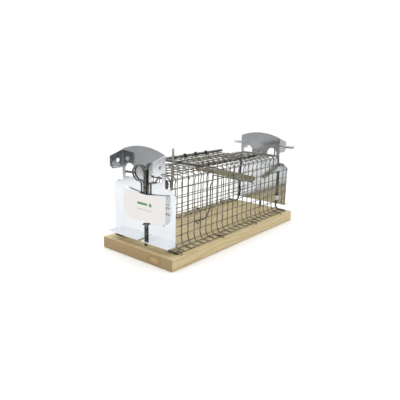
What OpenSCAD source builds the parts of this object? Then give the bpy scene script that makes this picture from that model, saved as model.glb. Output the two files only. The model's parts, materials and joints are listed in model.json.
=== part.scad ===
// Live catch trap: a wire cage on a wooden board, closed at both ends by
// sheet steel end plates with drop doors, and by a hinged hatch on top.
// X runs along the board, Z is up, and the origin is under the middle of the cage,
// on the underside of the board.
// "near" pieces are at the -X end and "far" pieces at the +X end.

/* [Board] */
// Length of the board
board_l = 300; // [280:5:360]
// Width of the board
board_w = 130; // [124:2:160]
// Thickness of the board
board_t = 16; // [12:1:22]
// How far the middle of the board is from the middle of the cage
board_shift = 3.65; // [0:0.05:4]

/* [End plates] */
// Distance between the inner faces of the end plates
plate_gap = 276; // [270:2:276]
// Thickness of the sheet steel
sheet_t = 1; // [0.8:0.1:1.2]
// Width of an end plate below its shoulders
plate_w = 112; // [108:2:120]
// Width of the head of an end plate, over the outsides of its ears
head_w = 77.6; // [76:0.4:80]
// Height of the middle of the arched head
head_top = 145.5; // [144:0.5:150]
// Height of the ends of the arched head
head_side = 138; // [136:0.5:140]
// Height of the bottom edge of an end plate
foot_z = 26; // [22:1:28]
// How far the foot flange stands out
flange_d = 13; // [10:1:16]
// How far the ears stand out
ear_d = 20.6; // [18:0.2:22]
// Diameter of the hole through each ear
ear_hole_d = 5; // [4.6:0.1:5.4]
// Diameter of the entrance port
port_d = 30; // [28:1:34]
// Height of the middle of the entrance port
port_z = 64.5; // [62:0.5:65]

/* [Doors] */
// How far a door and its housing are from the middle of the end plate
door_shift = -6; // [-6:0.5:0]
// Width of a sliding door
door_w = 62; // [50:1:62]
// Width of the door housing
housing_w = 76; // [74:0.5:78]
// Diameter of the lift wire
lift_d = 2.2; // [2:0.1:2.4]

/* [Cage] */
// Distance between neighbouring wires of the mesh
pitch = 12.7; // [12.7:0.1:12.9]
// Diameter of the mesh wire
mesh_d = 1.5; // [1.4:0.1:2]
// Distance between the middles of the two side walls
cage_w = 78; // [76:1:80]
// Height of the middle of the roof mesh
roof_z = 109.5; // [108:0.5:110]
// How far the feet of the mesh reach out over the board
foot_reach = 19.5; // [16:0.5:22]
// Diameter of the two end hoops
hoop_d = 3; // [2.6:0.1:3.2]

/* [Hatch] */
// Distance between the two side rods of the hatch frame
hatch_w = 70; // [66:1:72]
// Position along X of the crossbar of the hatch frame
hatch_x0 = -68.6; // [-69:0.2:-67]
// Position along X of the free ends of the hatch frame
hatch_x1 = 74.4; // [68:0.2:80]
// Height of the hatch frame
hatch_z = 117; // [116.5:0.5:119]
// Diameter of the hatch frame rods
hatch_d = 4; // [3.4:0.2:4.2]

/* [Trip gear] */
// Length of the trip bar from its pivot to its tip
trip_l = 163; // [150:1:164]
// Slope of the trip bar, in degrees below level
trip_slope = 15; // [12:0.5:16]
// Position along X of the trip bar pivot
trip_x = -30; // [-30:0.2:-26]
// Height of the trip bar pivot
trip_z = 105.8; // [104:0.2:105.8]
// Length of the lock pin
pin_l = 119; // [100:1:124]

/* [Hidden] */

steel = "silver";
dark_wire = "dimgray";

plate_in = plate_gap / 2;                  // inner face of an end plate
plate_out = plate_in + sheet_t;            // outer face of an end plate
head_half = head_w / 2;
shoulder_z = 97.2;                         // top of the wide part of an end plate
shoulder_cut = [8.8, 7.2];                 // chamfer at each shoulder, along Y and Z
ear_bottom = 114;
ear_corner = 4;                            // chamfer at the lower corner of an ear
ear_tip_z = 131.3;                         // height of the top of an ear at its outer edge
pin_x = plate_out + 7.8;                   // axis of the holes in the ears
pin_z = 124.4;
finger_y = [15.3, 33];                     // sides of a finger opening in the head
finger_z = [103.5, 121];

slack = 0.3;                               // gap between sheets that slide
door_t = 0.8;
door_z = [48, 84.5];
door_x = plate_out + slack;                // inner face of a door
housing_t = 0.8;
housing_z = [50.5, 89.4];
housing_dip = 3.9;                         // how far the top edge of the housing dips
weld = 0.15;                               // how deep a lift wire is welded into its door
wire_x = door_x + door_t + lift_d / 2 - weld;
housing_x = wire_x + lift_d / 2 + slack;   // inner face of the housing
fold_z = 58.5;                             // bottom of the folded sides of the housing
fold_h = 30.5;
tab_w = 5;                                 // tabs that are riveted to the end plate
tab_z = 62;
tab_h = 16;
rivet_z = [66, 74];
rivet_d = 3.6;
label_t = 0.25;

wall_y = cage_w / 2;
wire_r = mesh_d / 2;
cross_step = mesh_d * 0.7;                 // depth between the two layers of welded wires
mesh_n = 10;                               // transverse wires on each side of the middle
hoop_x = plate_in - hoop_d / 2 - slack;
mesh_end = hoop_x - hoop_d / 2;            // where the lengthwise wires meet the hoops
first_row = 3;                             // depth of the highest lengthwise wire below the roof
row_n = 7;                                 // lengthwise wires in a side wall
clip_z = [33, 83.5];
clip_h = 8;
staple_x = [-132.4, -47, 38.5, 113];
foot_wire_z = board_t + wire_r;
wall_top = roof_z - wire_r;
wall_bottom = foot_wire_z + wire_r;
open_n = 4;                                // roof wires left out on each side of the middle
open_x = (open_n + 0.5) * pitch;           // transverse wire at each end of the roof opening
hatch_n = 5;                               // wires of the hatch mesh on each side of the middle

trip_t = 2.5;
trip_d = 10;
pivot_d = 3;
fit = 0.06;                                // radial clearance of a running fit
hook_at = 33;                              // distance of the bait hook from the pivot
hook_drop = 2;                             // depth of the bait hook's hole below the bar's middle
hook_d = 2;
rest_d = 2;
rest_x = open_x;                           // the rest wire lies on two upright wires
bait_rod_at = [-6 * pitch, pitch / 2];     // in the middle of a cell of the roof
bait_rod_z = [93, 136.5];
bait_rod_d = 3;
collar_d = 15;
collar_w = 9.6;                            // over the two flats that clear the hatch frame
collar_t = 0.8;
tip = 1;                                   // length of the chamfer at the end of a rod

// ---------------------------------------------------------------- bent wires

function unit(v) = v / norm(v);

// Points of the arc that rounds the corner b between a and c with radius r
function corner(a, b, c, r, n = 4) =
    let (u = unit(a - b), v = unit(c - b), half = acos(u * v) / 2,
         centre = b + unit(u + v) * r / sin(half),
         s = b + u * r / tan(half) - centre, e = b + v * r / tan(half) - centre,
         turn = acos(s * e / (r * r)))
    [for (k = [0 : n]) centre + (s * sin(turn * (1 - k / n)) + e * sin(turn * k / n)) / sin(turn)];

// A route through points p with every inner corner rounded to radius r
function route(p, r) = [
    p[0],
    for (i = [1 : len(p) - 2]) each corner(p[i - 1], p[i], p[i + 1], r),
    p[len(p) - 1]
];

function tangent(p, i) =
    unit(p[min(i + 1, len(p) - 1)] - p[max(i - 1, 0)]);

// Normals carried along the route without twist
function carried(p, i, n) = let (t = tangent(p, i)) unit(n - t * (n * t));
function normals(p, i, n) =
    i == len(p) ? [] : let (m = carried(p, i, n)) concat([m], normals(p, i + 1, m));
function any_side(t) = abs(t.z) < 0.9 ? cross(t, [0, 0, 1]) : cross(t, [1, 0, 0]);

module bent_wire(p, d, sides = 8) {
    n = normals(p, 0, unit(any_side(tangent(p, 0))));
    ring = [for (i = [0 : len(p) - 1]) let (t = tangent(p, i), m = cross(t, n[i]))
        for (k = [0 : sides - 1]) let (a = 360 * (k + 0.5) / sides)
            p[i] + (n[i] * cos(a) + m * sin(a)) * d / 2];
    last = (len(p) - 1) * sides;
    skin = [for (i = [0 : len(p) - 2]) for (k = [0 : sides - 1])
        let (a = i * sides + k, b = i * sides + (k + 1) % sides)
        each [[a, a + sides, b + sides], [a, b + sides, b]]];
    caps = [[for (k = [0 : sides - 1]) k], [for (k = [sides - 1 : -1 : 0]) last + k]];
    polyhedron(ring, concat(skin, caps), convexity = 6);
}

module straight_wire(a, b, d) {
    v = b - a;
    translate(a)
        rotate([0, acos(v.z / norm(v)), atan2(v.y, v.x)])
            cylinder(d = d, h = norm(v), $fn = 32);
}

// ---------------------------------------------------------------- flat mesh panels

// An eight-sided bar of the mesh along X or along Y, with flats up and down
module bar_x(x0, x1) {
    translate([x0, 0, 0]) rotate([0, 90, 0]) rotate(22.5)
        cylinder(r = wire_r / cos(22.5), h = x1 - x0, $fn = 8);
}
module bar_y(y0, y1) {
    translate([0, y1, 0]) rotate([90, 0, 0]) rotate(22.5)
        cylinder(r = wire_r / cos(22.5), h = y1 - y0, $fn = 8);
}

// Welded mesh in the XY plane: bars along Y at every x, bars along X at every y just below
module welded_mesh(xs, ys, x_span, y_span) {
    for (x = xs) translate([x, 0, 0]) bar_y(y_span[0], y_span[1]);
    for (y = ys) translate([0, y, -cross_step]) bar_x(x_span[0], x_span[1]);
}

// Transverse wires of the cage numbered a to b: they lie half a pitch off the middle
function cross_wires(a, b) = [for (k = [a : b]) (k + 0.5) * pitch];

// ---------------------------------------------------------------- both ends

module near_end() { mirror([1, 0, 0]) children(); }

// Lays out a YZ profile as a sheet whose inner face is at x
module sheet_at(x, t) {
    translate([x, 0, 0]) rotate([90, 0, 90]) linear_extrude(t) children();
}

// ---------------------------------------------------------------- board

module base_board() {
    color("burlywood")
        translate([-board_l / 2 - board_shift, -board_w / 2, 0])
            cube([board_l, board_w, board_t]);
}

// ---------------------------------------------------------------- end plates

module head_arch() {
    rise = head_top - head_side;
    r = (head_half * head_half + rise * rise) / (2 * rise);
    intersection() {
        translate([0, head_top - r]) circle(r, $fn = 180);
        translate([-head_half, ear_bottom]) square([head_w, head_top - ear_bottom + 1]);
    }
}

module plate_outline() {
    half = plate_w / 2;
    polygon([
        [-half, foot_z], [half, foot_z],
        [half, shoulder_z - shoulder_cut.y], [half - shoulder_cut.x, shoulder_z],
        [head_half, shoulder_z], [head_half, ear_bottom + 1],
        [-head_half, ear_bottom + 1], [-head_half, shoulder_z],
        [-half + shoulder_cut.x, shoulder_z], [-half, shoulder_z - shoulder_cut.y]
    ]);
    head_arch();
}

// Finger opening with an arched top
module finger_opening() {
    w = finger_y[1] - finger_y[0];
    translate([(finger_y[0] + finger_y[1]) / 2, 0]) {
        translate([-w / 2, finger_z[0]]) square([w, finger_z[1] - finger_z[0] - w / 2]);
        translate([0, finger_z[1] - w / 2]) circle(d = w, $fn = 64);
    }
}

module ear_outline() {
    polygon([
        [plate_in, ear_bottom], [plate_out + ear_d - ear_corner, ear_bottom],
        [plate_out + ear_d, ear_bottom + ear_corner], [plate_out + ear_d, ear_tip_z],
        [plate_in, head_side]
    ]);
}

module end_plate() {
    notch_w = 5.6;
    color(steel) difference() {
        union() {
            sheet_at(plate_in, sheet_t) plate_outline();
            for (side = [-1, 1])
                translate([0, side > 0 ? head_half : -head_half + sheet_t, 0])
                    rotate([90, 0, 0]) linear_extrude(sheet_t) ear_outline();
            translate([plate_in, -plate_w / 2, foot_z])
                cube([flange_d + sheet_t, plate_w, sheet_t]);
        }
        translate([plate_in - 1, 0, port_z]) rotate([0, 90, 0])
            cylinder(d = port_d, h = sheet_t + 2, $fn = 96);
        sheet_at(plate_in - 1, sheet_t + 2) {
            finger_opening();
            mirror([1, 0]) finger_opening();
        }
        translate([plate_out, door_shift - notch_w / 2, foot_z - 1])
            cube([flange_d + 1, notch_w, sheet_t + 2]);
        translate([pin_x, head_half + 1, pin_z]) rotate([90, 0, 0])
            cylinder(d = ear_hole_d, h = head_w + 2, $fn = 64);
    }
}
module near_end_plate() { near_end() end_plate(); }
module far_end_plate() { end_plate(); }

// ---------------------------------------------------------------- door housing

module housing_outline() {
    half = housing_w / 2;
    r_low = 8;
    r_dip = (half * half + housing_dip * housing_dip) / (2 * housing_dip);
    difference() {
        union() {
            translate([-half, housing_z[0] + r_low])
                square([housing_w, housing_z[1] - housing_z[0] - r_low]);
            translate([-half + r_low, housing_z[0]]) square([housing_w - 2 * r_low, r_low]);
            for (side = [-1, 1])
                translate([side * (half - r_low), housing_z[0] + r_low]) circle(r_low, $fn = 64);
        }
        translate([0, housing_z[1] - housing_dip + r_dip]) circle(r_dip, $fn = 180);
    }
}

// Shallow cover over the port: a face with folded sides that stand on the end plate
module door_housing(face_holed) {
    depth = housing_x - plate_out;
    half = housing_w / 2;
    color(steel) translate([0, door_shift, 0]) difference() {
        union() {
            sheet_at(housing_x, housing_t) housing_outline();
            for (side = [-1, 1])
                translate([plate_out, side > 0 ? half - housing_t : -half, fold_z])
                    cube([depth + housing_t / 2, housing_t, fold_h]);
            for (side = [-1, 1])
                translate([plate_out, side > 0 ? half - housing_t : -half - tab_w, tab_z])
                    cube([housing_t, tab_w + housing_t, tab_h]);
        }
        if (face_holed)
            translate([plate_out, -door_shift, port_z]) rotate([0, 90, 0])
                cylinder(d = port_d, h = depth + 2 * housing_t, $fn = 96);
    }
}
module near_door_housing() { near_end() door_housing(false); }
module far_door_housing() { door_housing(true); }

module housing_rivets() {
    color(steel)
        for (side = [-1, 1], z = rivet_z)
            translate([plate_out + housing_t, door_shift + side * (housing_w + tab_w) / 2, z])
                rotate([0, 90, 0]) {
                    cylinder(d = rivet_d, h = 0.5, $fn = 32);
                    translate([0, 0, 0.5])
                        cylinder(d1 = rivet_d, d2 = rivet_d * 0.6, h = 0.5, $fn = 32);
                }
}
module near_housing_rivets() { near_end() housing_rivets(); }
module far_housing_rivets() { housing_rivets(); }

module near_label() {
    color("white") near_end() translate([0, door_shift, 0])
        sheet_at(housing_x + housing_t, label_t) housing_outline();
}

// ---------------------------------------------------------------- doors

module door() {
    color(steel)
        translate([door_x, door_shift - door_w / 2, door_z[0]])
            cube([door_t, door_w, door_z[1] - door_z[0]]);
}
module near_door() { near_end() door(); }
module far_door() { door(); }

// One half of the grip: up the middle, round a lobe and down the stem beside it.
// The lobe on the -Y side is the taller one.
module lift_wire_half(side) {
    mid = side * (lift_d / 2 + 0.05);
    stem = side * 6.2;
    out = side * 22.2;
    weld_z = 71;
    peak = side > 0 ? 120.4 : 125.4;
    path = [
        [wire_x, mid, weld_z], [wire_x, mid, peak - 4], [wire_x, side * 7.5, peak],
        [wire_x, side * 15.5, peak], [wire_x, out, peak - 6], [wire_x, out, 107],
        [wire_x, side * 16, 101.4], [wire_x, stem, 101.4], [wire_x, stem, weld_z]
    ];
    bent_wire(route(path, 2.4), lift_d);
}
module lift_wire() {
    color(dark_wire) translate([0, door_shift, 0]) {
        lift_wire_half(1);
        lift_wire_half(-1);
    }
}
module near_lift_wire() { near_end() lift_wire(); }
module far_lift_wire() { lift_wire(); }

// ---------------------------------------------------------------- anchors

// Doubled wire that pegs the end plate to the board. Its two splayed ends are
// the stop of the door above them.
module anchor_wire() {
    d = 2.2;
    x = plate_out + d / 2 + 0.1;
    y = d / 2 + 0.05;
    top = door_z[0] - d / 2 - slack;
    bottom = board_t - 8;
    color(dark_wire) translate([0, door_shift, 0]) {
        bent_wire(route([[x, y + 4.2, top - 2.8], [x, y, top - 0.2], [x, y, bottom]], 1.6), d);
        bent_wire(route([[x, -y - 5.2, top], [x, -y, top], [x, -y, bottom]], 1.6), d);
    }
}
module near_anchor_wire() { near_end() anchor_wire(); }
module far_anchor_wire() { anchor_wire(); }

// ---------------------------------------------------------------- hoops

module hoop() {
    top = roof_z + wire_r - hoop_d / 2;
    low = board_t + hoop_d / 2;
    reach = wall_y + foot_reach;
    path = [
        [hoop_x, -reach, low], [hoop_x, -wall_y, low], [hoop_x, -wall_y, top],
        [hoop_x, wall_y, top], [hoop_x, wall_y, low], [hoop_x, reach, low]
    ];
    color(dark_wire) bent_wire(route(path, 6), hoop_d);
}
module near_hoop() { near_end() hoop(); }
module far_hoop() { hoop(); }

// Folded steel clips that hold a hoop against the end plate
module hoop_clips() {
    gap = 0.1;
    half = hoop_d / 2 + gap;
    t = 0.8;
    color(steel)
        for (side = [-1, 1], z = clip_z)
            translate([0, side * wall_y, z]) linear_extrude(clip_h)
                polygon([
                    [plate_in, side * (half + 6)], [plate_in - t, side * (half + 6)],
                    [plate_in - t, side * (half + t)], [hoop_x - half - t, side * (half + t)],
                    [hoop_x - half - t, -side * half], [hoop_x - half, -side * half],
                    [hoop_x - half, side * half], [plate_in, side * half]
                ]);
}
module near_hoop_clips() { near_end() hoop_clips(); }
module far_hoop_clips() { hoop_clips(); }

// ---------------------------------------------------------------- mesh

wall_rows = [for (k = [0 : row_n - 1]) roof_z - first_row - k * pitch];
roof_rows = [-wall_y + pitch, -pitch, 0, pitch, wall_y - pitch];

// A side wall, drawn flat and stood up with its upright wires outside
module mesh_wall(side) {
    color(dark_wire)
        translate([0, side * wall_y, 0]) mirror([0, side > 0 ? 1 : 0, 0]) rotate([90, 0, 0])
            welded_mesh(cross_wires(-mesh_n, mesh_n - 1), wall_rows,
                        [-mesh_end, mesh_end], [wall_bottom, wall_top]);
}
module front_mesh_wall() { mesh_wall(-1); }
module back_mesh_wall() { mesh_wall(1); }

// The roof between the hatch opening and one end
module roof_mesh() {
    color(dark_wire)
        translate([0, 0, roof_z])
            welded_mesh(cross_wires(open_n, mesh_n - 1), roof_rows,
                        [open_x - wire_r, mesh_end], [-wall_y - wire_r, wall_y + wire_r]);
}
module near_roof_mesh() { near_end() roof_mesh(); }
module far_roof_mesh() { roof_mesh(); }
module roof_strip(side) {
    edge = side * (wall_y - pitch);
    ends = [side * wall_y - wire_r, side * wall_y + wire_r];
    span = side > 0 ? [edge - wire_r, ends[1]] : [ends[0], edge + wire_r];
    color(dark_wire)
        translate([0, 0, roof_z]) {
            for (x = cross_wires(-open_n, open_n - 1))
                translate([x, 0, 0]) bar_y(span[0], span[1]);
            translate([0, edge, -cross_step])
                bar_x(-open_x + wire_r, open_x - wire_r);
        }
}
module front_roof_strip() { roof_strip(-1); }
module back_roof_strip() { roof_strip(1); }

module mesh_foot(side) {
    reach = wall_y + foot_reach;
    span = side > 0 ? [wall_y - wire_r, reach] : [-reach, -wall_y + wire_r];
    color(dark_wire)
        translate([0, 0, foot_wire_z]) {
            for (x = cross_wires(-mesh_n, mesh_n - 1))
                translate([x, 0, 0]) bar_y(span[0], span[1]);
            translate([0, side * (reach - wire_r), cross_step]) bar_x(-mesh_end, mesh_end);
        }
}
module front_mesh_foot() { mesh_foot(-1); }
module back_mesh_foot() { mesh_foot(1); }

// Wire staples that straddle the outer wire of each foot
module foot_staples() {
    d = 1.6;
    half = 4.5;
    bottom = board_t - 5;
    y = wall_y + foot_reach - wire_r;
    top = foot_wire_z + cross_step + wire_r + d / 2 + 0.05;
    color(steel)
        for (side = [-1, 1], x = staple_x)
            bent_wire(route([
                [x, side * (y - half), bottom], [x, side * (y - half), top],
                [x, side * (y + half), top], [x, side * (y + half), bottom]
            ], 1.4), d);
}

// ---------------------------------------------------------------- hatch

module hatch_frame() {
    half = hatch_w / 2;
    color(dark_wire) {
        for (y = [-half, half])
            straight_wire([hatch_x0 + 1, y, hatch_z], [hatch_x1, y, hatch_z], hatch_d);
        straight_wire([hatch_x0, -half - hatch_d / 2, hatch_z],
                      [hatch_x0, half + hatch_d / 2, hatch_z], hatch_d);
    }
}

module hatch_mesh() {
    half = hatch_w / 2;
    z = hatch_z - hatch_d / 2 - wire_r;
    end = hatch_n * pitch;
    cols = [for (k = [-hatch_n : hatch_n]) k * pitch];
    rows = [for (k = [-2 : 2]) k * hatch_w / 5];
    color(dark_wire)
        translate([0, 0, z]) mirror([0, 0, 1])
            welded_mesh(cols, rows, [-end - wire_r, end + wire_r], [-half - 1.5, half + 1.5]);
}

// Rings of wire on stems, round the back rod of the hatch
module hatch_hinge_eyes() {
    d = 1.8;
    r_in = hatch_d / 2 + fit;
    color(dark_wire)
        for (k = [-open_n : 2 : open_n - 1])
            translate([(k + 0.5) * pitch, hatch_w / 2, 0]) {
                translate([0, 0, hatch_z]) rotate([0, 90, 0])
                    rotate_extrude($fn = 48) translate([r_in + d / 2, 0]) circle(d = d, $fn = 24);
                translate([0, 0, roof_z + wire_r])
                    cylinder(d = d, h = hatch_z - r_in - d / 2 - roof_z - wire_r, $fn = 24);
            }
}

// ---------------------------------------------------------------- trip gear

// Places things along the sloping trip bar, with X down the slope from the pivot
module along_trip_bar() {
    translate([trip_x, 0, trip_z]) rotate([0, trip_slope, 0]) children();
}

module trip_bar() {
    color("darkkhaki")
        along_trip_bar() difference() {
            translate([0, trip_t / 2, 0]) rotate([90, 0, 0]) linear_extrude(trip_t) {
                circle(d = trip_d, $fn = 48);
                polygon([
                    [0, -trip_d / 2], [trip_l - 8, -trip_d / 2], [trip_l, 0.5],
                    [trip_l - 3, trip_d / 2], [0, trip_d / 2]
                ]);
            }
            rotate([90, 0, 0]) translate([0, 0, -trip_t])
                cylinder(d = pivot_d + 2 * fit, h = 2 * trip_t, $fn = 64);
            translate([hook_at, 0, -hook_drop]) rotate([90, 0, 0]) translate([0, 0, -trip_t])
                cylinder(d = hook_d + 2 * fit, h = 2 * trip_t, $fn = 48);
        }
}

// Held between the highest lengthwise wires of the side walls
module trip_pivot_rod() {
    reach = wall_y - cross_step - wire_r;
    color(steel) straight_wire([trip_x, -reach, trip_z], [trip_x, reach, trip_z], pivot_d);
}

// Welded across the cage under the trip bar, which lies on it
module trip_rest_wire() {
    reach = wall_y - wire_r;
    drop = (rest_x - trip_x) * tan(trip_slope) + (trip_d + rest_d) / 2 / cos(trip_slope);
    z = trip_z - drop - slack / 2;
    color(dark_wire) straight_wire([rest_x, -reach, z], [rest_x, reach, z], rest_d);
}

// Axis of the bait hook's swing
hook_x = trip_x + hook_at * cos(trip_slope) - hook_drop * sin(trip_slope);
hook_z = trip_z - hook_at * sin(trip_slope) - hook_drop * cos(trip_slope);

// Wire from the trip bar down to a barb just over the board
module bait_hook() {
    side = trip_t / 2 + 3;
    path = [
        [hook_x, side, hook_z], [hook_x, -side, hook_z],
        [hook_x, -side, hook_z - 14], [hook_x, 0, hook_z - 22],
        [hook_x, 0, board_t + 22], [hook_x - 9, 0, board_t + 8], [hook_x - 26, 0, board_t + 6.5],
        [hook_x - 46, 0, board_t + 14], [hook_x - 27, 0, board_t + 3]
    ];
    color(steel) bent_wire(route(path, 1.6), hook_d);
}

module bait_rod() {
    h = bait_rod_z[1] - bait_rod_z[0] - tip;
    color(steel) translate([bait_rod_at.x, bait_rod_at.y, bait_rod_z[0]]) {
        cylinder(d = bait_rod_d, h = h, $fn = 32);
        translate([0, 0, h]) cylinder(d1 = bait_rod_d, d2 = bait_rod_d * 0.6, h = tip, $fn = 32);
    }
}

// Washer with two flats on the rod, which rests on two lengthwise wires of the roof
module bait_rod_collar() {
    z = roof_z - cross_step + wire_r + 0.1;
    color(steel)
        translate([bait_rod_at.x, bait_rod_at.y, z]) difference() {
            intersection() {
                cylinder(d = collar_d, h = collar_t, $fn = 48);
                translate([-collar_w / 2, -collar_d, 0]) cube([collar_w, 2 * collar_d, collar_t]);
            }
            translate([0, 0, -1]) cylinder(d = bait_rod_d, h = collar_t + 2, $fn = 32);
        }
}

// ---------------------------------------------------------------- lock pin

module lock_pin() {
    d = ear_hole_d - 2 * fit;
    body = pin_l - 2 * tip;
    color(steel)
        translate([pin_x, body / 2, pin_z]) rotate([90, 0, 0]) {
            cylinder(d = d, h = body, $fn = 48);
            translate([0, 0, body]) cylinder(d1 = d, d2 = d - 1.6 * tip, h = tip, $fn = 48);
            translate([0, 0, -tip]) cylinder(d1 = d - 1.6 * tip, d2 = d, h = tip, $fn = 48);
        }
}

base_board();
near_end_plate();
far_end_plate();
near_door_housing();
far_door_housing();
near_housing_rivets();
far_housing_rivets();
near_door();
far_door();
near_lift_wire();
far_lift_wire();
near_label();
near_anchor_wire();
far_anchor_wire();
near_hoop();
far_hoop();
near_hoop_clips();
far_hoop_clips();
front_mesh_wall();
back_mesh_wall();
near_roof_mesh();
far_roof_mesh();
front_roof_strip();
back_roof_strip();
front_mesh_foot();
back_mesh_foot();
foot_staples();
hatch_frame();
hatch_mesh();
hatch_hinge_eyes();
trip_bar();
trip_pivot_rod();
trip_rest_wire();
bait_hook();
bait_rod();
bait_rod_collar();
lock_pin();
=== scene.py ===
# %% [markdown]
# # A live catch trap of wire, sheet steel and pine
#
# The trap is a wire cage on a pine board. Each end is closed by a plate of galvanised sheet
# with a drop door behind a shallow housing, and a hatch lies on the roof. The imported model
# gives every place and size. This script keeps the shapes that are right and softens their
# edges. It bends the wires anew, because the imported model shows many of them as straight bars.

# %% Load the frame
import json
import math
import random

import bmesh
import bpy
from mathutils import Matrix, Vector

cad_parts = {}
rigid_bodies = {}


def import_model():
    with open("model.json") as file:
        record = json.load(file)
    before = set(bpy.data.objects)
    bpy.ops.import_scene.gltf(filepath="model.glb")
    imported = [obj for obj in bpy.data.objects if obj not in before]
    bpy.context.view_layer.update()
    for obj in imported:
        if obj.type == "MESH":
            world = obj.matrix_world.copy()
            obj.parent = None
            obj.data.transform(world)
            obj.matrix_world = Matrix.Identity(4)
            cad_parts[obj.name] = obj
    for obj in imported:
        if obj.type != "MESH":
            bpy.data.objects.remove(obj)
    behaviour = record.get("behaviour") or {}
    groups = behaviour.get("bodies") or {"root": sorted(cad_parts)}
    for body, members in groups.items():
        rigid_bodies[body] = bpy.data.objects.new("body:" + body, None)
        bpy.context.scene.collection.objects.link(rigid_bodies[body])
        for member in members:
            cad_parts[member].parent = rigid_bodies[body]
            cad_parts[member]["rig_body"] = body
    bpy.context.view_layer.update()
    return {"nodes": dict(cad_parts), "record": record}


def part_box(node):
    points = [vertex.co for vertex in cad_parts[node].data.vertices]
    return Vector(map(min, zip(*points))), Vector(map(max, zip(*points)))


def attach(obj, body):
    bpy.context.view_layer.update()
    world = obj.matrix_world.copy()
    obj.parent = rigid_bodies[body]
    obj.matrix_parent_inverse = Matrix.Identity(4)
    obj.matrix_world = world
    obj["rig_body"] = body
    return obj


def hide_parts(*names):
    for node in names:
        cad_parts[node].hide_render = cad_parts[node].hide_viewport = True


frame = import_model()
MM = 0.001


def mm_box(node):
    """The lowest and highest corner of a node, in millimetres."""
    low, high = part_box(node)
    return low / MM, high / MM


# %% [markdown]
# ## The camera
#
# The camera looks down on one end and one long side of the trap. It is placed by its position
# and three angles: it turns about the vertical, tips down, and rolls a little. A camera looks
# along its own -Z, so the matrix is built from its right, its top and its back.

# %% Camera
EYE = Vector((-507.3, -393.0, 215.1)) * MM
YAW, TIP, ROLL = (math.radians(angle) for angle in (39.09, -14.41, 1.3))

forward = Vector((
    math.cos(YAW) * math.cos(TIP),
    math.sin(YAW) * math.cos(TIP),
    math.sin(TIP),
))
level = forward.cross(Vector((0, 0, 1))).normalized()
upright = level.cross(forward)
right = level * math.cos(ROLL) + upright * math.sin(ROLL)
top = upright * math.cos(ROLL) - level * math.sin(ROLL)

camera = bpy.data.objects.new("camera", bpy.data.cameras.new("camera"))
camera.data.sensor_width = 36
camera.data.lens = 38.8
camera.data.clip_start = 0.01
camera.matrix_world = Matrix.Translation(EYE) @ Matrix((right, top, -forward)).transposed().to_4x4()
bpy.context.scene.collection.objects.link(camera)
bpy.context.scene.camera = camera
print("camera at", [round(v, 4) for v in EYE])

# %% [markdown]
# ## Shader maths as plain expressions
#
# A finish is mostly arithmetic on noise. A `Value` wraps one output of a node, so that
# `1 - mask * 0.4` adds the Math nodes it needs. Colours and vectors don't survive a Math node,
# so they go through Mix and Vector Math, and numbers alone stay in Python.

# %% A wrapped socket and a recipe for a finish
class Value:
    """An output socket that ordinary arithmetic works on."""

    def __init__(self, recipe, socket):
        self.recipe, self.socket = recipe, socket

    def _math(self, operation, *values):
        return self.recipe.node("Math", {"operation": operation}, dict(enumerate(values)))

    def __add__(self, other):
        return self._math("ADD", self, other)

    def __radd__(self, other):
        return self._math("ADD", other, self)

    def __sub__(self, other):
        return self._math("SUBTRACT", self, other)

    def __rsub__(self, other):
        return self._math("SUBTRACT", other, self)

    def __mul__(self, other):
        return self._math("MULTIPLY", self, other)

    def __rmul__(self, other):
        return self._math("MULTIPLY", other, self)

    def __truediv__(self, other):
        return self._math("DIVIDE", self, other)

    def __pow__(self, other):
        return self._math("POWER", self, other)

    def clamped(self):
        return self._math("MINIMUM", self._math("MAXIMUM", self, 0.0), 1.0)

    def root(self):
        return self._math("SQRT", self)

    def fraction(self):
        return self._math("FRACT", self)

    def size(self):
        return self._math("ABSOLUTE", self)

    def step(self, low, high):
        """0 below low, 1 above high, and smooth between them."""
        ends = {"From Min": low, "From Max": high}
        settings = {"interpolation_type": "SMOOTHSTEP"}
        return self.recipe.node("MapRange", settings, {"Value": self, **ends})


class Nodes:
    """The nodes of a finish or of the sky, and the few that both need."""

    def __init__(self, tree):
        self.nodes, self.links = tree.nodes, tree.links

    def node(self, kind, settings=None, sockets=None, out=0):
        """Adds a node: first its settings, then the values or links of its sockets."""
        new = self.nodes.new("ShaderNode" + kind)
        for name, value in (settings or {}).items():
            setattr(new, name, value)
        for name, value in (sockets or {}).items():
            self.feed(new.inputs[name], value)
        return Value(self, new.outputs[out])

    def feed(self, socket, value):
        if isinstance(value, Value):
            self.links.new(value.socket, socket)
        else:
            socket.default_value = value

    def stretched(self, point, x, y, z):
        scaled = {0: point, 1: (x, y, z)}
        return self.node("VectorMath", {"operation": "MULTIPLY"}, scaled)

    def split(self, point):
        new = self.node("SeparateXYZ", None, {0: point}).socket.node
        return [Value(self, new.outputs[axis]) for axis in range(3)]

    def noise(self, point, scale, detail=3.0, rough=0.5):
        """Noise whose patches are about 1 / scale of a millimetre across."""
        sockets = {"Vector": point, "Scale": scale, "Detail": detail, "Roughness": rough}
        return self.node("TexNoise", None, sockets)

    def mix(self, share, a, b):
        """Colour a where share is 0 and colour b where it is 1."""
        return self.node("Mix", {"data_type": "RGBA"}, {0: share, 6: a, 7: b}, out=2)

    def bump(self, height, strength, distance):
        sockets = {"Height": height, "Strength": strength, "Distance": distance * MM}
        return self.node("Bump", None, sockets)


class Recipe(Nodes):
    """One finish, on top of a Principled shader."""

    def __init__(self, name, **constants):
        self.material = bpy.data.materials.new(name)
        self.material.use_nodes = True
        super().__init__(self.material.node_tree)
        self.shader = self.nodes["Principled BSDF"]
        for socket, value in constants.items():
            self.shader.inputs[socket.replace("_", " ")].default_value = value

    def place(self):
        """The point being shaded, in millimetres in the frame of the model."""
        point = self.node("TexCoord", out="Object")
        return self.stretched(point, 1000, 1000, 1000)

    def finish(self, **sockets):
        for socket, value in sockets.items():
            self.feed(self.shader.inputs[socket.replace("_", " ")], value)
        return self.material


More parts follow.
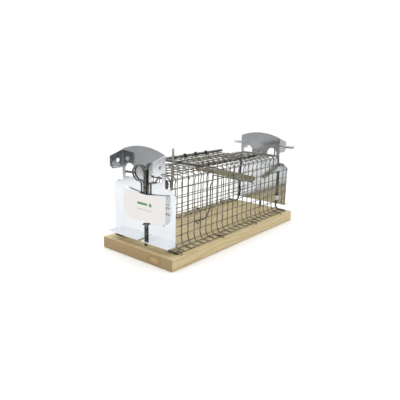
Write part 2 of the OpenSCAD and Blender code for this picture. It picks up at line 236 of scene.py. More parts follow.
def shade(red, green, blue):
    """A colour given as it looks on a screen, from 0 to 255, as linear light."""
    return (*(((level / 255 + 0.055) / 1.055) ** 2.4 for level in (red, green, blue)), 1.0)


# %% [markdown]
# ## Galvanised sheet
#
# Hot zinc freezes on steel in flat crystals, the spangle, which differ a little in tone and in
# gloss. A Voronoi pattern gives each crystal its own random colour. Rolling leaves faint
# streaks down the sheet, handling leaves small scratches, and the thin sheet is never quite
# flat, so a slow bump bends its reflections. The zinc is new and nearly a mirror: an ear shows
# again in the plate beside it, so the gloss matters more than the pattern.

# %% Galvanised sheet
def galvanised_sheet(name, light, dark, gloss):
    recipe = Recipe(name, Metallic=1.0)
    point = recipe.place()
    cells = {"Vector": point, "Scale": 0.16}
    crystal = recipe.split(recipe.node("TexVoronoi", None, cells, out="Color"))[0]
    cloud = recipe.noise(point, 0.03, 2.0)
    streak = recipe.noise(recipe.stretched(point, 1, 0.04, 0.7), 0.5, 3.0, 0.5)
    scratch = recipe.noise(recipe.stretched(point, 0.4, 1.4, 0.06), 0.9, 4.0, 0.7).step(0.68, 0.8)
    tone = (0.2 + crystal * 0.12 + cloud * 0.8 + streak * 0.12).clamped()
    colour = recipe.mix(tone, dark, light)
    colour = recipe.mix(scratch * 0.3, colour, dark)
    rough = gloss + crystal * 0.03 + streak * 0.05 + scratch * 0.08
    height = recipe.noise(point, 0.02, 1.0) * 2 - scratch * 0.01
    return recipe.finish(
        Base_Color=colour,
        Roughness=rough,
        Normal=recipe.bump(height, 0.14, 0.9),
    )


SHEET = galvanised_sheet("galvanised_sheet", shade(227, 230, 233), shade(200, 204, 207), 0.1)
DOOR_SHEET = galvanised_sheet("door_sheet", shade(226, 228, 229), shade(196, 199, 200), 0.14)
print("sheet finishes:", SHEET.name, DOOR_SHEET.name)

# %% [markdown]
# ## Wire
#
# The mesh is welded first and dipped afterwards, so its wires are dull grey with a darker
# bloom. The hoops, the lift wires, the staples and the hatch frame are drawn wire, which is
# darker. The rods and the lock pin are zinc plated and brighter. One recipe serves all three:
# a clean tone, patches of a worn tone, and a fine grain.

# %% Wire finishes
def wire_finish(name, clean, worn, spread, rough):
    """A small spread gives patches with hard edges."""
    recipe = Recipe(name, Metallic=1.0)
    point = recipe.place()
    patch = recipe.noise(point, 0.12, 4.0, 0.6).step(0.5 - spread, 0.5 + spread)
    grain = recipe.noise(point, 1.6, 3.0, 0.7)
    colour = recipe.mix(patch, clean, worn)
    colour = recipe.mix(grain.step(0.55, 0.8) * 0.35, colour, worn)
    return recipe.finish(
        Base_Color=colour,
        Roughness=rough + patch * 0.15 + grain * 0.1,
        Normal=recipe.bump(grain, 0.3, 0.12),
    )


MESH_WIRE = wire_finish("mesh_wire", shade(160, 160, 152), shade(100, 97, 86), 0.2, 0.3)
HEAVY_WIRE = wire_finish("heavy_wire", shade(132, 132, 128), shade(70, 68, 64), 0.22, 0.26)
BRIGHT_STEEL = wire_finish("bright_steel", shade(206, 207, 205), shade(150, 150, 146), 0.3, 0.2)
print("wire finishes:", MESH_WIRE.name, HEAVY_WIRE.name, BRIGHT_STEEL.name)

# %% [markdown]
# ## Yellow passivated strip
#
# The trip bar is steel strip with an olive passivated coat, worn brown where it turns on its
# pivot. The brown fades out along the bar, so it is mixed in by the distance along X. The
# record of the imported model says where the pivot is.

# %% Trip bar finish
def passivated_strip():
    recipe = Recipe("passivated_strip", Metallic=0.75)
    point = recipe.place()
    along = recipe.split(point)[0]
    joints = frame["record"]["behaviour"]["joints"]
    pivot = next(j for j in joints if j["name"] == "trip_pivot")["pos_m"][0] / MM
    cloud = recipe.noise(point, 0.06, 4.0)
    streak = recipe.noise(recipe.stretched(point, 0.05, 1, 1.2), 1.1, 4.0, 0.7)
    share = (cloud + streak - 0.5).clamped()
    colour = recipe.mix(share, shade(136, 134, 108), shade(172, 170, 142))
    worn = 1 - (along + cloud * 20).step(pivot + 12, pivot + 62)
    colour = recipe.mix(worn * 0.7, colour, shade(134, 96, 68))
    return recipe.finish(
        Base_Color=colour,
        Roughness=0.3 + streak * 0.2,
        Normal=recipe.bump(streak, 0.3, 0.15),
    )


STRIP = passivated_strip()
print("strip finish:", STRIP.name)

# %% [markdown]
# ## Pine
#
# A plank is cut from a round trunk, so its grain is a set of rings about a line along the
# board. On the long faces the rings show as stripes and on the ends as arcs. The distance from
# that line, bent by slow noise, gives one saw-tooth for each year: it darkens slowly and ends
# sharply. Fine fibres run along X, and a knot crosses the rings at one end.

# %% Pine finish
PITH = (26.0, -52.0)          # the middle of the trunk, along Y and Z, in millimetres
RING = 4.6                    # width of one year of growth
KNOT = (-34.0, 7.5)           # where a knot comes out of the near end, along Y and Z
KNOT_EDGE = 5.0               # half its height; it is 2.1 times as wide
board_low, board_high = mm_box("base_board")
NEAR_END = board_low.x


def pine():
    recipe = Recipe("pine")
    point = recipe.place()
    x, y, z = recipe.split(point)
    sway = recipe.noise(recipe.stretched(point, 0.006, 0.02, 0.02), 1.0, 2.0) * 26
    reach = ((y - PITH[0]) ** 2.0 + (z - PITH[1]) ** 2.0).root() + sway
    year = (reach / RING).fraction()
    late = year.step(0.45, 0.95) * (1 - year.step(0.95, 1.0))
    fibre = recipe.noise(recipe.stretched(point, 0.03, 1, 1), 1.9, 4.0, 0.7)
    blotch = recipe.noise(recipe.stretched(point, 0.3, 1, 1), 0.05, 3.0)
    colour = recipe.mix(late * 0.5, shade(208, 190, 146), shade(180, 152, 102))
    colour = recipe.mix(fibre.step(0.5, 0.75) * 0.35, colour, shade(168, 144, 100))
    colour = recipe.mix(blotch.step(0.4, 0.75) * 0.35, colour, shade(192, 178, 140))
    # The near end face is painted darker: partly its real darker end grain, partly painted shade on
    # that face.
    end_grain_and_shade = 1 - x.step(NEAR_END + 0.3, NEAR_END + 0.9)
    colour = recipe.mix(end_grain_and_shade * 0.78, colour, shade(146, 118, 78))
    off_knot = (((y - KNOT[0]) / 2.1) ** 2.0 + (z - KNOT[1]) ** 2.0).root()
    knot = end_grain_and_shade * (1 - (off_knot + fibre * 1.5).step(3.6, 5.4))
    colour = recipe.mix(knot * 0.6, colour, shade(190, 160, 112))
    rim = end_grain_and_shade * (1 - (off_knot - KNOT_EDGE).size().step(0.2, 1.4))
    colour = recipe.mix(rim * 0.4, colour, shade(128, 96, 60))
    return recipe.finish(
        Base_Color=colour,
        Roughness=0.62 + late * 0.08 - fibre * 0.08,
        Normal=recipe.bump(fibre * 0.7 + late * 0.5, 0.4, 0.35),
    )


PINE = pine()
print("pine finish:", PINE.name)

# %% [markdown]
# ## The label
#
# A thin printed card covers the face of the near housing. Its print is generic: a short green
# bar with a dot beside it, over one thin grey rule. Each mark is a mask worked out from the
# distance to a point or a line on the card.

# %% Label finish
def inside(distance, half, edge=0.25):
    """1 where a distance is less than half and 0 where it is more, with a soft edge."""
    return 1 - (distance - half).step(-edge, edge)


def label_card():
    recipe = Recipe("label_card", Specular_IOR_Level=0.35)
    point = recipe.place()
    low, high = mm_box("near_label")
    y, z = recipe.split(point)[1:]
    y = y - (low.y + high.y) / 2
    z = z - (low.z + high.z) / 2
    bar = inside((z - 3).size(), 1.6) * inside((y - 3).size(), 9)
    dot = inside(((y + 11.5) ** 2.0 + (z - 3) ** 2.0).root(), 2.4)
    rule = inside((z + 4.5).size(), 0.5, 0.2) * inside(y.size(), 13)
    pulp = recipe.noise(point, 0.9, 4.0, 0.6)
    stain = recipe.noise(point, 0.04, 3.0)
    colour = recipe.mix(stain, shade(246, 243, 240), shade(232, 229, 226))
    colour = recipe.mix(pulp * 0.2, colour, shade(222, 219, 214))
    colour = recipe.mix((bar + dot).clamped() * 0.9, colour, shade(72, 132, 62))
    colour = recipe.mix(rule * 0.6, colour, shade(150, 150, 148))
    return recipe.finish(
        Base_Color=colour,
        Roughness=0.34 + stain * 0.16,
        Normal=recipe.bump(pulp, 0.15, 0.1),
    )


LABEL = label_card()
print("label finish:", LABEL.name)

# %% [markdown]
# ## Making meshes
#
# Three helpers make nearly every piece. `loft` joins a row of sections into one closed skin.
# `tubes` sweeps a round section along bent routes: the section is carried from point to point
# with the least twist, and each end is narrowed to a small dome, as sheared wire has.
# `softened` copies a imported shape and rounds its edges, because real sheet has no razor edges,
# and it is the rounded edge that catches the light.

# %% Bent routes
def corner(a, b, c, radius, steps):
    """Points of the arc that rounds the corner b between a and c."""
    u, v = (a - b).normalized(), (c - b).normalized()
    half = u.angle(v) / 2
    radius = min(radius, 0.49 * min((a - b).length, (c - b).length) * math.tan(half))
    centre = b + (u + v).normalized() * radius / math.sin(half)
    start = b + u * radius / math.tan(half) - centre
    end = b + v * radius / math.tan(half) - centre
    turn = math.pi - 2 * half
    shares = [k / steps for k in range(steps + 1)]
    return [
        centre + (start * math.sin(turn * (1 - t)) + end * math.sin(turn * t)) / math.sin(turn)
        for t in shares
    ]


def bent(points, radius, steps=6):
    """A route through the points with every inner corner rounded."""
    points = [Vector(p) for p in points]
    route = [points[0]]
    for a, b, c in zip(points, points[1:], points[2:]):
        straight = (b - a).angle(c - b) < 0.02
        route += [b] if straight else corner(a, b, c, radius, steps)
    return route + [points[-1]]


def divided(a, b, parts):
    """A straight route from a to b in equal parts."""
    a, b = Vector(a), Vector(b)
    return [a.lerp(b, k / parts) for k in range(parts + 1)]


# %% Lofts and tubes
def circle(count):
    """The angles of that many points round a circle."""
    return [2 * math.pi * k / count for k in range(count)]


def loft(mesh, sections):
    """Joins sections of equally many points, in millimetres, and closes both ends."""
    loops = [[mesh.verts.new(Vector(p) * MM) for p in section] for section in sections]
    for here, there in zip(loops, loops[1:]):
        for k in range(len(here)):
            m = (k + 1) % len(here)
            mesh.faces.new((here[k], here[m], there[m], there[k]))
    mesh.faces.new(reversed(loops[0]))
    mesh.faces.new(loops[-1])


def add_tube(mesh, route, radius, sides):
    """Sweeps one round wire, in millimetres, into the bmesh."""
    tangents = []
    for k in range(len(route)):
        ahead, behind = route[min(k + 1, len(route) - 1)], route[max(k - 1, 0)]
        tangents.append((ahead - behind).normalized())
    first, last = tangents[0], tangents[-1]
    domes = ((0, 0.45), (0.15, 0.85), (0.45, 1.0))     # how far in, and how wide, as radii
    rings = [(route[0] + first * radius * step, first, share) for step, share in domes]
    rings += [(p, t, 1.0) for p, t in zip(route[1:-1], tangents[1:-1])]
    rings += [(route[-1] - last * radius * step, last, share) for step, share in domes[::-1]]
    side = first.orthogonal().normalized()
    loops = []
    for point, tangent, share in rings:
        side = (side - tangent * side.dot(tangent)).normalized()
        other = tangent.cross(side)
        spokes = [side * math.cos(a) + other * math.sin(a) for a in circle(sides)]
        loops.append([point + spoke * radius * share for spoke in spokes])
    loft(mesh, loops)


def new_piece(name, mesh, material, slot, body, *nodes):
    """Makes an object from a bmesh, gives it its finish and puts it on its body."""
    bmesh.ops.recalc_face_normals(mesh, faces=mesh.faces)
    data = bpy.data.meshes.new(name)
    mesh.to_mesh(data)
    mesh.free()
    data.materials.append(material)
    data.shade_smooth()
    piece = bpy.data.objects.new(name, data)
    bpy.context.scene.collection.objects.link(piece)
    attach(piece, body)
    if nodes:
        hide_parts(*nodes)
    print(f"{name}: {len(data.vertices)} points on {body}")
    return piece


def tubes(name, routes, radius, finish, body, *nodes, sides=12):
    mesh = bmesh.new()
    for route in routes:
        add_tube(mesh, route, radius, sides)
    material, slot = finish
    return new_piece(name, mesh, material, slot, body, *nodes)


MESH_FINISH = (MESH_WIRE, "mesh_wire")
HEAVY_FINISH = (HEAVY_WIRE, "heavy_wire")
BRIGHT_FINISH = (BRIGHT_STEEL, "bright_steel")


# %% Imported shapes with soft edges
def softened(name, node, material, slot, width):
    """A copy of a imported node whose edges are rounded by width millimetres.

    Weighted normals keep the large flat faces flat beside their small rounded edges.
    """
    packed = frame["nodes"][node]
    mesh = bmesh.new()
    mesh.from_mesh(packed.data)
    bmesh.ops.remove_doubles(mesh, verts=mesh.verts, dist=0.002 * MM)
    flat = math.radians(0.6)
    bmesh.ops.dissolve_limit(mesh, angle_limit=flat, verts=mesh.verts, edges=mesh.edges)
    many_sided = [face for face in mesh.faces if len(face.verts) > 4]
    bmesh.ops.triangulate(mesh, faces=many_sided)
    piece = new_piece(name, mesh, material, slot, packed["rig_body"], node)
    bevel = piece.modifiers.new("soft_edges", "BEVEL")
    bevel.width = width * MM
    bevel.segments = 3
    bevel.limit_method = "ANGLE"
    bevel.angle_limit = math.radians(35)
    even = piece.modifiers.new("even_normals", "WEIGHTED_NORMAL")
    even.mode = "FACE_AREA"
    even.weight = 100
    return piece


# %% [markdown]
# ## The board
#
# The board is planed pine with its edges broken by hand. A box with bevelled edges is too
# perfect, so its faces are divided and the points near the edges are pushed in by seeded
# noise, which leaves small dents along the corners.

# %% Board
BROKEN_EDGE = 1.3                      # radius of the board's edges
WORN_EDGE = 1.4                        # how far in from them the wood is dented


def make_board():
    mesh = bmesh.new()
    bmesh.ops.create_cube(mesh, size=1)
    size, middle = board_high - board_low, (board_high + board_low) / 2
    place = Matrix.Translation(middle * MM) @ Matrix.Diagonal((*(size * MM), 1))
    bmesh.ops.transform(mesh, matrix=place, verts=mesh.verts)
    bmesh.ops.bevel(mesh, geom=mesh.edges[:], offset=BROKEN_EDGE * MM, segments=3,
                    affect="EDGES", profile=0.5)
    long_edges = [e for e in mesh.edges if abs(e.verts[0].co.x - e.verts[1].co.x) > 100 * MM]
    bmesh.ops.subdivide_edges(mesh, edges=long_edges, cuts=60, use_grid_fill=True)
    chance = random.Random(11)
    for vert in mesh.verts:
        offset = vert.co / MM - middle
        near = [size[i] / 2 - abs(offset[i]) for i in (1, 2)]
        if max(near) < WORN_EDGE:
            dent = max(0.0, chance.gauss(0, 0.16))
            vert.co.y -= math.copysign(dent * MM, offset.y)
            vert.co.z -= math.copysign(dent * MM, offset.z)
    return new_piece("pine_board", mesh, PINE, "pine", "cage", "base_board")


make_board()

# %% [markdown]
# ## Sheet steel
#
# The plates, housings, doors and clips have the right outlines already. Each gets soft edges
# and the galvanised finish. The label lies flat on the near housing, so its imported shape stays
# and only its finish changes.

# %% Plates, housings, doors and clips
for end in ("near", "far"):
    softened(f"{end}_plate_sheet", f"{end}_end_plate", SHEET, "galvanised_sheet", 0.35)
    softened(f"{end}_housing_sheet", f"{end}_door_housing", SHEET, "galvanised_sheet", 0.25)
    softened(f"{end}_door_sheet", f"{end}_door", DOOR_SHEET, "galvanised_sheet", 0.25)
    softened(f"{end}_folded_clips", f"{end}_hoop_clips", SHEET, "galvanised_sheet", 0.2)


# %% [markdown]
# ## Turned edges of the housings
#
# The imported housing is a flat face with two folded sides. The pressed one also has its top
# edge rolled back towards the door, with a gap for the lift wire, and its lower corners turned
# in. Both are lofted: a small section is placed at each step of the edge and the sections are
# joined. The rolled edge stops just short of the door, which slides up behind it.

# %% Turned edges
HOUSING_HALF = 38.0                    # half the width of a housing
DIP = 3.9                              # how far its top edge dips in the middle
TURN = 8.0                             # radius of its lower corners
SHEET_T = 0.8                          # thickness of the sheet
DOOR_HALF = 31.4                       # half the width kept clear for the door
SLOT_HALF = 8.8                        # half the gap for the lift wire


def rolled_edge(start, stop, face, back, out, top):
    """Sections of the top edge, rolled from the face back to a depth, for one side."""
    bow = (HOUSING_HALF ** 2 + DIP ** 2) / (2 * DIP)
    roll = [math.radians(18 * k) for k in range(6)]
    sections = []
    for k in range(13):
        y = start + (stop - start) * k / 12
        z = top - DIP + bow - math.sqrt(bow * bow - y * y)
        outer = [(back + (face - back) * math.cos(a), z + 0.7 * math.sin(a)) for a in roll]
        inner = [(x - out * 0.3 * math.cos(a), h - 0.45) for (x, h), a in zip(outer, roll)]
        sections.append([(x, y, h) for x, h in outer + inner[::-1]])
    return sections


def turned_corner(face, plate, bottom):
    """Sections of the sheet that turns in round a lower corner."""
    sections = []
    for k in range(11):
        a = math.radians(7.4 * k)
        (y0, z0), (y1, z1) = [
            (HOUSING_HALF - TURN + r * math.cos(a), bottom + TURN - r * math.sin(a))
            for r in (TURN, TURN - SHEET_T)
        ]
        sections.append([(face, y0, z0), (plate, y0, z0), (plate, y1, z1), (face, y1, z1)])
    return sections


# %% Both housings
def turned_edges(end, out):
    """out is -1 where the face looks towards -X and 1 where it looks towards +X."""
    low, high = mm_box(f"{end}_door_housing")
    door_low, door_high = mm_box(f"{end}_door")
    face, plate = (low.x, high.x) if out < 0 else (high.x, low.x)
    door = (door_low.x if out < 0 else door_high.x) + out * 0.2
    middle = (door_low.y + door_high.y) / 2
    parts = [
        rolled_edge(HOUSING_HALF, DOOR_HALF, face, plate, out, high.z),
        rolled_edge(DOOR_HALF, SLOT_HALF, face, door, out, high.z),
        turned_corner(face, plate, low.z),
    ]
    mesh = bmesh.new()
    for side in (-1, 1):
        for sections in parts:
            loft(mesh, [[(x, middle + side * y, z) for x, y, z in section] for section in sections])
    name, housing = f"{end}_turned_edges", f"{end}_door_housing"
    piece = new_piece(name, mesh, SHEET, "galvanised_sheet", "cage", housing)
    piece.data.set_sharp_from_angle(angle=math.radians(40))


turned_edges("near", -1)
turned_edges("far", 1)


# %% Label
def give(node, material):
    data = frame["nodes"][node].data
    data.materials.clear()
    data.materials.append(material)


give("near_label", LABEL)
print("label card:", [round(v, 1) for v in mm_box("near_label")[1] - mm_box("near_label")[0]])

# %% [markdown]
# ## Rivets
#
# A pop rivet has a low domed head with a small pit left by its mandrel. The radii and heights
# of half a head are turned about the rivet's axis, which is quicker than shaping a sphere.

# %% Rivets
RIVET = 1.8                            # radius of a head
HEAD = [(0.45, 0.55), (0.6, 0.95), (1.0, 0.95), (1.5, 0.6), (RIVET, 0.12), (RIVET, 0)]


def rivet_heads(end, out):
    """Four heads, each turned from its radii and heights."""
    low, high = mm_box(f"{end}_housing_rivets")
    root = high.x if out < 0 else low.x
    mesh = bmesh.new()
    for y in (low.y + RIVET, high.y - RIVET):
        for z in (low.z + RIVET, high.z - RIVET):
            loft(mesh, [
                [(root + out * h, y + r * math.cos(a), z + r * math.sin(a)) for a in circle(24)]
                for r, h in HEAD
            ])
    name, rivets = f"{end}_rivet_heads", f"{end}_housing_rivets"
    new_piece(name, mesh, BRIGHT_STEEL, "galvanised_sheet", "cage", rivets)


rivet_heads("near", -1)
rivet_heads("far", 1)

# %% [markdown]
# ## The cage
#
# Every crosswise wire is one length: it starts at the outer edge of one foot, turns up the
# wall, bulges slightly at the shoulder, crosses the roof and comes down the other side. Over
# the hatch opening it stops at the strip beside the opening. Hand bending is never exact, so
# each wire gets a little seeded wander. The lengthwise wires are welded on the inside, and
# crowd together where the wall turns into the foot.

# %% Cage wires
PITCH = 12.7                           # from one wire to the next
WELD = 1.4                             # depth between the two welded layers, as radii
WIRE = (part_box("near_roof_mesh")[1].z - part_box("near_roof_mesh")[0].z) / MM / (2 + WELD)
WELD_STEP = WELD * WIRE
THIN = 0.85 * WIRE                     # the lengthwise wires are a little thinner
WIRES_EACH_SIDE = 10
OPEN_EACH_SIDE = 4

wall_high = mm_box("back_mesh_wall")[1]
foot_low, foot_high = mm_box("back_mesh_foot")
roof_high = mm_box("far_roof_mesh")[1]
WALL = wall_high.y - WIRE
FOOT = foot_high.y
FOOT_Z = foot_low.z + WIRE
ROOF = roof_high.z - WIRE
CAGE_END = wall_high.x
STRIP_EDGE = WALL - PITCH
wander = random.Random(5)
print("wire radius", round(WIRE, 3), "mm, roof at", round(ROOF, 2), "mm")


def half_wire(x, roof_reach):
    """From the outer end of a foot to the roof, on the +Y side."""
    out = 0.7 + wander.uniform(-0.35, 0.35)
    bow = wander.uniform(-0.35, 0.35)
    drift = wander.uniform(-0.4, 0.4)
    points = [
        (x + drift, FOOT - wander.uniform(0, 1.6), FOOT_Z), (x, WALL + 9, FOOT_Z),
        (x, WALL + 2.2, FOOT_Z + 1.2), (x, WALL, FOOT_Z + 9),
        (x + drift * 0.5, WALL + bow * 0.6, 55), (x, WALL - 0.2, ROOF - 17),
        (x, WALL - 0.9, ROOF - 10), (x, WALL + out, ROOF - 5), (x, WALL - 1.5, ROOF - 0.3),
        (x, WALL - 9, ROOF), (x, roof_reach, ROOF),
    ]
    return bent(points, 4.2, 5)


def mirrored(route):
    return [Vector((p.x, -p.y, p.z)) for p in route]


def crosswise_wires():
    routes = []
    for k in range(-WIRES_EACH_SIDE, WIRES_EACH_SIDE):
        x = (k + 0.5) * PITCH
        if -OPEN_EACH_SIDE <= k < OPEN_EACH_SIDE:
            routes += [half_wire(x, STRIP_EDGE - WIRE), mirrored(half_wire(x, STRIP_EDGE - WIRE))]
        else:
            back, front = half_wire(x, 4), mirrored(half_wire(x, 4))
            routes.append(back + front[::-1])
    return routes


def lengthwise(y, z, start=-CAGE_END, stop=CAGE_END):
    """A wire along X with a slight wave."""
    route = divided((start, y, z), (stop, y, z), max(4, int((stop - start) / PITCH)))
    for point in route[1:-1]:
        point.y += wander.uniform(-0.12, 0.12)
        point.z += wander.uniform(-0.22, 0.22)
    return route


def lengthwise_wires():
    routes = []
    open_end = (OPEN_EACH_SIDE + 0.5) * PITCH + WIRE
    for side in (-1, 1):
        for k in range(7):
            z = ROOF - 3 - k * PITCH
            inner = WALL - WELD_STEP + (0.4 if k == 0 else 0)
            routes.append(lengthwise(side * inner, z))
        routes.append(lengthwise(side * (FOOT - WIRE), FOOT_Z + WELD_STEP))
        routes.append(lengthwise(side * (WALL + 7), FOOT_Z + WELD_STEP))
        routes.append(lengthwise(side * (WALL + 1.2), FOOT_Z + 3.4))
        routes.append(lengthwise(side * STRIP_EDGE, ROOF - WELD_STEP))
    for y in (-PITCH, 0, PITCH):
        routes.append(lengthwise(y, ROOF - WELD_STEP, stop=-open_end + 2 * WIRE))
        routes.append(lengthwise(y, ROOF - WELD_STEP, start=open_end - 2 * WIRE))
    return routes


mesh_nodes = [
    "front_mesh_wall", "back_mesh_wall", "near_roof_mesh", "far_roof_mesh",
    "front_roof_strip", "back_roof_strip", "front_mesh_foot", "back_mesh_foot",
]
for name, routes, radius in (
    ("cage_crosswise_mesh", crosswise_wires(), WIRE),
    ("cage_lengthwise_mesh", lengthwise_wires(), THIN),
):
    tubes(name, routes, radius, MESH_FINISH, "cage", *mesh_nodes, sides=8)

# %% [markdown]
# ## Hoops, staples and cross rods
#
# The hoops are thicker wire with wide bends, and stand against the end plates. Three short
# wires beside the near plate turn down like hooks. Wire staples hold the feet to the board.
# The trip bar's pivot rod spans the cage under its roof, and the wire that the bar lies on
# crosses the cage lower down.

# %% Hoops
HOOP = 1.5                             # radius of the wire


def hoop_route(x):
    low, high = mm_box("far_hoop")
    y, z = high.y, low.z + HOOP
    peak = high.z - HOOP
    points = [
        (x, -y, z), (x, -WALL, z), (x, -WALL, peak), (x, WALL, peak), (x, WALL, z), (x, y, z),
    ]
    return bent(points, 7, 10)


for end in ("near", "far"):
    low, high = mm_box(f"{end}_hoop")
    route = hoop_route((low.x + high.x) / 2)
    tubes(f"{end}_bent_hoop", [route], HOOP, HEAVY_FINISH, "cage", f"{end}_hoop", sides=16)


# %% Side hooks
def side_hook_routes(x):
    """Three nested wires that come out under the near ear and turn down."""
    routes = []
    for k in range(3):
        out, height, bottom = -48.6 + 3.6 * k, 114.4 - 3.4 * k, 97.5 + 0.4 * k
        points = [(x, -WALL, height - 1), (x, out + 3, height), (x, out, height - 4),
                  (x, out + 0.4, bottom)]
        routes.append(bent(points, 3.2))
    return routes


low, high = mm_box("near_hoop")
routes = side_hook_routes((low.x + high.x) / 2)
tubes("near_side_hooks", routes, 0.8, HEAVY_FINISH, "cage", "near_hoop", sides=10)


# %% Staples
STAPLE = 0.8                           # radius of the wire
CROWN = 9.0                            # distance between the two legs
staple_low, staple_high = mm_box("foot_staples")
STAPLES = (staple_low.x + STAPLE, -47.0, 38.5, staple_high.x - STAPLE)


def staple_routes():
    """Two rows of staples, one for each foot."""
    top, bottom = staple_high.z - STAPLE, staple_low.z
    routes = []
    for x in STAPLES:
        for side in (-1, 1):
            outer = side * (staple_high.y - STAPLE)
            inner = outer - side * CROWN
            lean = wander.uniform(-1.2, 1.2)
            points = [(x - lean, inner, bottom), (x - lean, inner, top), (x + lean, outer, top),
                      (x + lean, outer, bottom)]
            routes.append(bent(points, 1.8))
    return routes


tubes("wire_staples", staple_routes(), STAPLE, HEAVY_FINISH, "cage", "foot_staples", sides=10)


# %% Cross rods
def cross_rod(name, node, reach, finish):
    low, high = mm_box(node)
    x, z = (low.x + high.x) / 2, (low.z + high.z) / 2
    route = divided((x, -reach, z), (x, reach, z), 12)
    tubes(name, [route], (high.z - low.z) / 2, finish, "cage", node, sides=20)


cross_rod("pivot_cross_rod", "trip_pivot_rod", WALL - 1.6, BRIGHT_FINISH)
cross_rod("rest_cross_wire", "trip_rest_wire", WALL - 0.7, MESH_FINISH)

# %% [markdown]
# ## Lift wires and anchors
#
# Each door hangs from wire bent into an M. Its two loops are what a finger grips: the wire
# rises in the middle, turns over, comes round and runs down beside itself to the door. One
# loop stands higher than the other. The anchor is doubled wire driven into the board, and its
# two ends are splayed.

# %% Lift wires
LIFT = 1.1                             # radius of the wire
TALLER = 5.0                           # how much higher the loop on the -Y side is
LOOP_FOOT = 101.4                      # where a loop turns in towards its stem
STEM = 6.2                             # how far a stem is from the middle


def lift_route(x, side, low, high):
    """Half of the M: up the middle, round one loop and down beside the middle."""
    centre = (low.y + high.y) / 2
    out = (high.y - low.y) / 2 - LIFT
    middle = LIFT + 0.05
    peak = high.z - LIFT - (TALLER if side > 0 else 0)
    profile = [
        (middle, low.z), (middle, peak - 16), (middle, peak - 7), (5.5, peak), (16, peak),
        (out, peak - 6), (out, LOOP_FOOT + 6), (16, LOOP_FOOT), (STEM, LOOP_FOOT), (STEM, low.z),
    ]
    return bent([(x, centre + side * y, z) for y, z in profile], 5.5, 8)


for end in ("near", "far"):
    low, high = mm_box(f"{end}_lift_wire")
    routes = [lift_route((low.x + high.x) / 2, side, low, high) for side in (-1, 1)]
    name, body, node = f"{end}_grip_wire", f"{end}_door", f"{end}_lift_wire"
    tubes(name, routes, LIFT, HEAVY_FINISH, body, node, sides=16)


# %% Anchors
def anchor_routes(x, low, high):
    top = high.z - LIFT
    gap = LIFT + 0.05
    centre = (low.y + high.y) / 2 + 0.5
    left, right = centre + gap, centre - gap
    return [
        bent([(x, left + 4.2, top - 2.8), (x, left, top - 0.2), (x, left, low.z)], 1.7),
        bent([(x, right - 5.2, top), (x, right, top), (x, right, low.z)], 1.7),
    ]


for end in ("near", "far"):
    low, high = mm_box(f"{end}_anchor_wire")
    routes = anchor_routes((low.x + high.x) / 2, low, high)
    tubes(f"{end}_anchor_pegs", routes, LIFT, HEAVY_FINISH, "cage", f"{end}_anchor_wire", sides=14)

# %% [markdown]
# ## The hatch
#
# The hatch is a U of thick rod with a panel of mesh under it. Each crosswise wire of the panel
# is turned up round the outsides of the two rods, so its route is a straight piece with an arc
# at each end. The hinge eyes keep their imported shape, since they are already true rings.

# %% Hatch
frame_low, frame_high = mm_box("hatch_frame")
ROD = (frame_high.z - frame_low.z) / 2
ROD_Z = (frame_high.z + frame_low.z) / 2
ROD_Y = frame_high.y - ROD
ROD_X = frame_low.x + ROD


def hatch_rod():
    end = frame_high.x
    points = [(end, ROD_Y), (ROD_X, ROD_Y), (ROD_X, -ROD_Y), (end, -ROD_Y)]
    return bent([(x, y, ROD_Z) for x, y in points], 4.5, 10)


def wrapped_wire(x):
    """A crosswise wire of the hatch, with each end turned up round a rod."""
    reach = ROD + WIRE
    turns = [math.radians(-90 + 18 * k) for k in range(8)]
    arc = [
        Vector((x + k * 0.1, ROD_Y + reach * math.cos(a), ROD_Z + reach * math.sin(a)))
        for k, a in enumerate(turns)
    ]
    other = [Vector((p.x, -p.y, p.z)) for p in arc]
    middle = [Vector((x, y, ROD_Z - reach)) for y in (20, 7, -7, -20)]
    return arc[::-1] + middle + other


def hatch_wires():
    end = mm_box("hatch_mesh")[1].x
    routes = [wrapped_wire(k * PITCH) for k in range(-5, 6)]
    for k in range(-2, 3):
        y = k * 2 * ROD_Y / 5
        routes.append(lengthwise(y, ROD_Z - ROD - WIRE + WELD_STEP, -end, end))
    return routes


tubes("hatch_rod_frame", [hatch_rod()], ROD, HEAVY_FINISH, "hatch", "hatch_frame", sides=20)
tubes("hatch_panel_mesh", hatch_wires(), WIRE, MESH_FINISH, "hatch", "hatch_mesh", sides=8)
give("hatch_hinge_eyes", HEAVY_WIRE)

# %% [markdown]
# ## Trip bar, bait hook, rod and pin
#
# The trip bar, the upright rod with its washer and the lock pin are right as packed and only
# need soft edges. The bait hook hangs from the bar. Its bends are redrawn as smooth wire, down
# to a point that turns back over the board.

# %% Bait hook
HOOK = 1.0                             # radius of the wire


def hook_route():
    high = mm_box("bait_hook")[1]
    x, z = high.x - HOOK, high.z - HOOK
    side = high.y
    floor = board_high.z
    points = [
        (x, side, z), (x, -side, z), (x, -side, z - 14), (x, 0, z - 22),
        (x, 0, floor + 22), (x - 9, 0, floor + 8), (x - 26, 0, floor + 6.5),
        (x - 46, 0, floor + 14), (x - 27, 0, floor + 3),
    ]
    return bent(points, 2.4, 7)


tubes("bait_hook_wire", [hook_route()], HOOK, HEAVY_FINISH, "bait_hook", "bait_hook", sides=14)

# %% Trip bar, rod and pin
softened("trip_strip", "trip_bar", STRIP, "passivated_strip", 0.4)
softened("upright_rod", "bait_rod", BRIGHT_STEEL, "bright_steel", 0.3)
softened("rod_washer", "bait_rod_collar", BRIGHT_STEEL, "bright_steel", 0.15)
softened("locking_pin", "lock_pin", BRIGHT_STEEL, "bright_steel", 0.45)

# %% [markdown]
# ## The studio
#
# Bright metal shows the room around it, so the light matters as much as the finish. A round
# pale floor fills the lower reflections and shows a soft shadow, a broad light hangs above and
# a weaker one stands at one side. The sky is white. Three fixed directions of it are dim for
# reflections, as the doorway and two walls of a real studio are, or sheet steel would look
# like paper. What is seen behind the trap stays white in every view.

# %% Floor
FLOOR = 0.62                           # radius, in metres; the dim directions begin past it


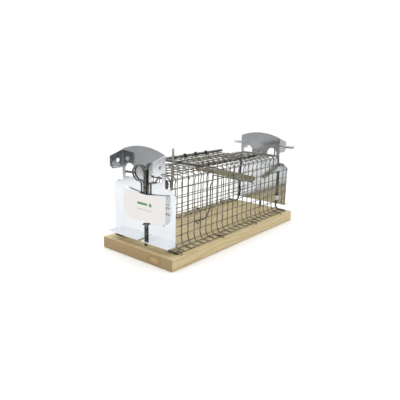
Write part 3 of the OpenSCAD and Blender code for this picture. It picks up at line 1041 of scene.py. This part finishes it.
def make_floor():
    mesh = bmesh.new()
    bmesh.ops.create_circle(mesh, cap_ends=True, radius=FLOOR, segments=96)
    data = bpy.data.meshes.new("studio_floor")
    mesh.to_mesh(data)
    mesh.free()
    recipe = Recipe("studio_floor", Specular_IOR_Level=0.1)
    soft = recipe.noise(recipe.place(), 0.002, 2.0)
    colour = recipe.mix(soft, (0.93, 0.93, 0.93, 1), (0.95, 0.95, 0.95, 1))
    data.materials.append(recipe.finish(Base_Color=colour, Roughness=0.9))
    floor = bpy.data.objects.new("studio_floor", data)
    bpy.context.scene.collection.objects.link(floor)


make_floor()


# %% Lights
def soft_light(name, place, aim, size, power):
    lamp = bpy.data.lights.new(name, "AREA")
    lamp.shape = "SQUARE"
    lamp.size = size
    lamp.energy = power
    light = bpy.data.objects.new(name, lamp)
    light.location = place
    light.rotation_euler = (Vector(aim) - Vector(place)).to_track_quat("-Z", "Y").to_euler()
    bpy.context.scene.collection.objects.link(light)


# %% Sky
def studio_sky():
    """White to look at, but dim in a few directions for reflections."""
    sky = bpy.data.worlds.new("studio_sky")
    sky.use_nodes = True
    tree = Nodes(sky.node_tree)
    way = tree.node("TexCoord", out="Generated")

    def towards(direction, narrow, wide):
        """1 within narrow degrees of a direction and 0 beyond wide degrees."""
        sockets = {0: way, 1: direction}
        likeness = tree.node("VectorMath", {"operation": "DOT_PRODUCT"}, sockets, out="Value")
        return likeness.step(math.cos(math.radians(wide)), math.cos(math.radians(narrow)))

    doorway = towards((-0.77, -0.62, -0.15), 14, 34)
    far_wall = towards((-0.76, 0.65, 0.0), 16, 44)
    side_wall = towards((0.76, -0.63, -0.15), 10, 40)
    dim = (doorway * 0.93 + far_wall * 0.6 + side_wall * 0.42).clamped()
    shown = tree.node("LightPath", out="Is Camera Ray")
    light = 1 - dim * (1 - shown)
    background = tree.nodes["Background"]
    colour = tree.node("CombineXYZ", None, {0: light, 1: light, 2: light})
    tree.feed(background.inputs["Color"], colour)
    background.inputs["Strength"].default_value = 1.0
    bpy.context.scene.world = sky


CENTRE = (0, 0, 0.06)
soft_light("overhead", (-0.1, 0.3, 1.5), CENTRE, 1.4, 9)
soft_light("left_side", (-0.9, 1.0, 0.7), CENTRE, 0.8, 2)
studio_sky()
bpy.context.scene.view_settings.view_transform = "Standard"

# %% [markdown]
# ## The last step: the view layer is brought up to date.

# %% Update the view layer
bpy.context.view_layer.update()
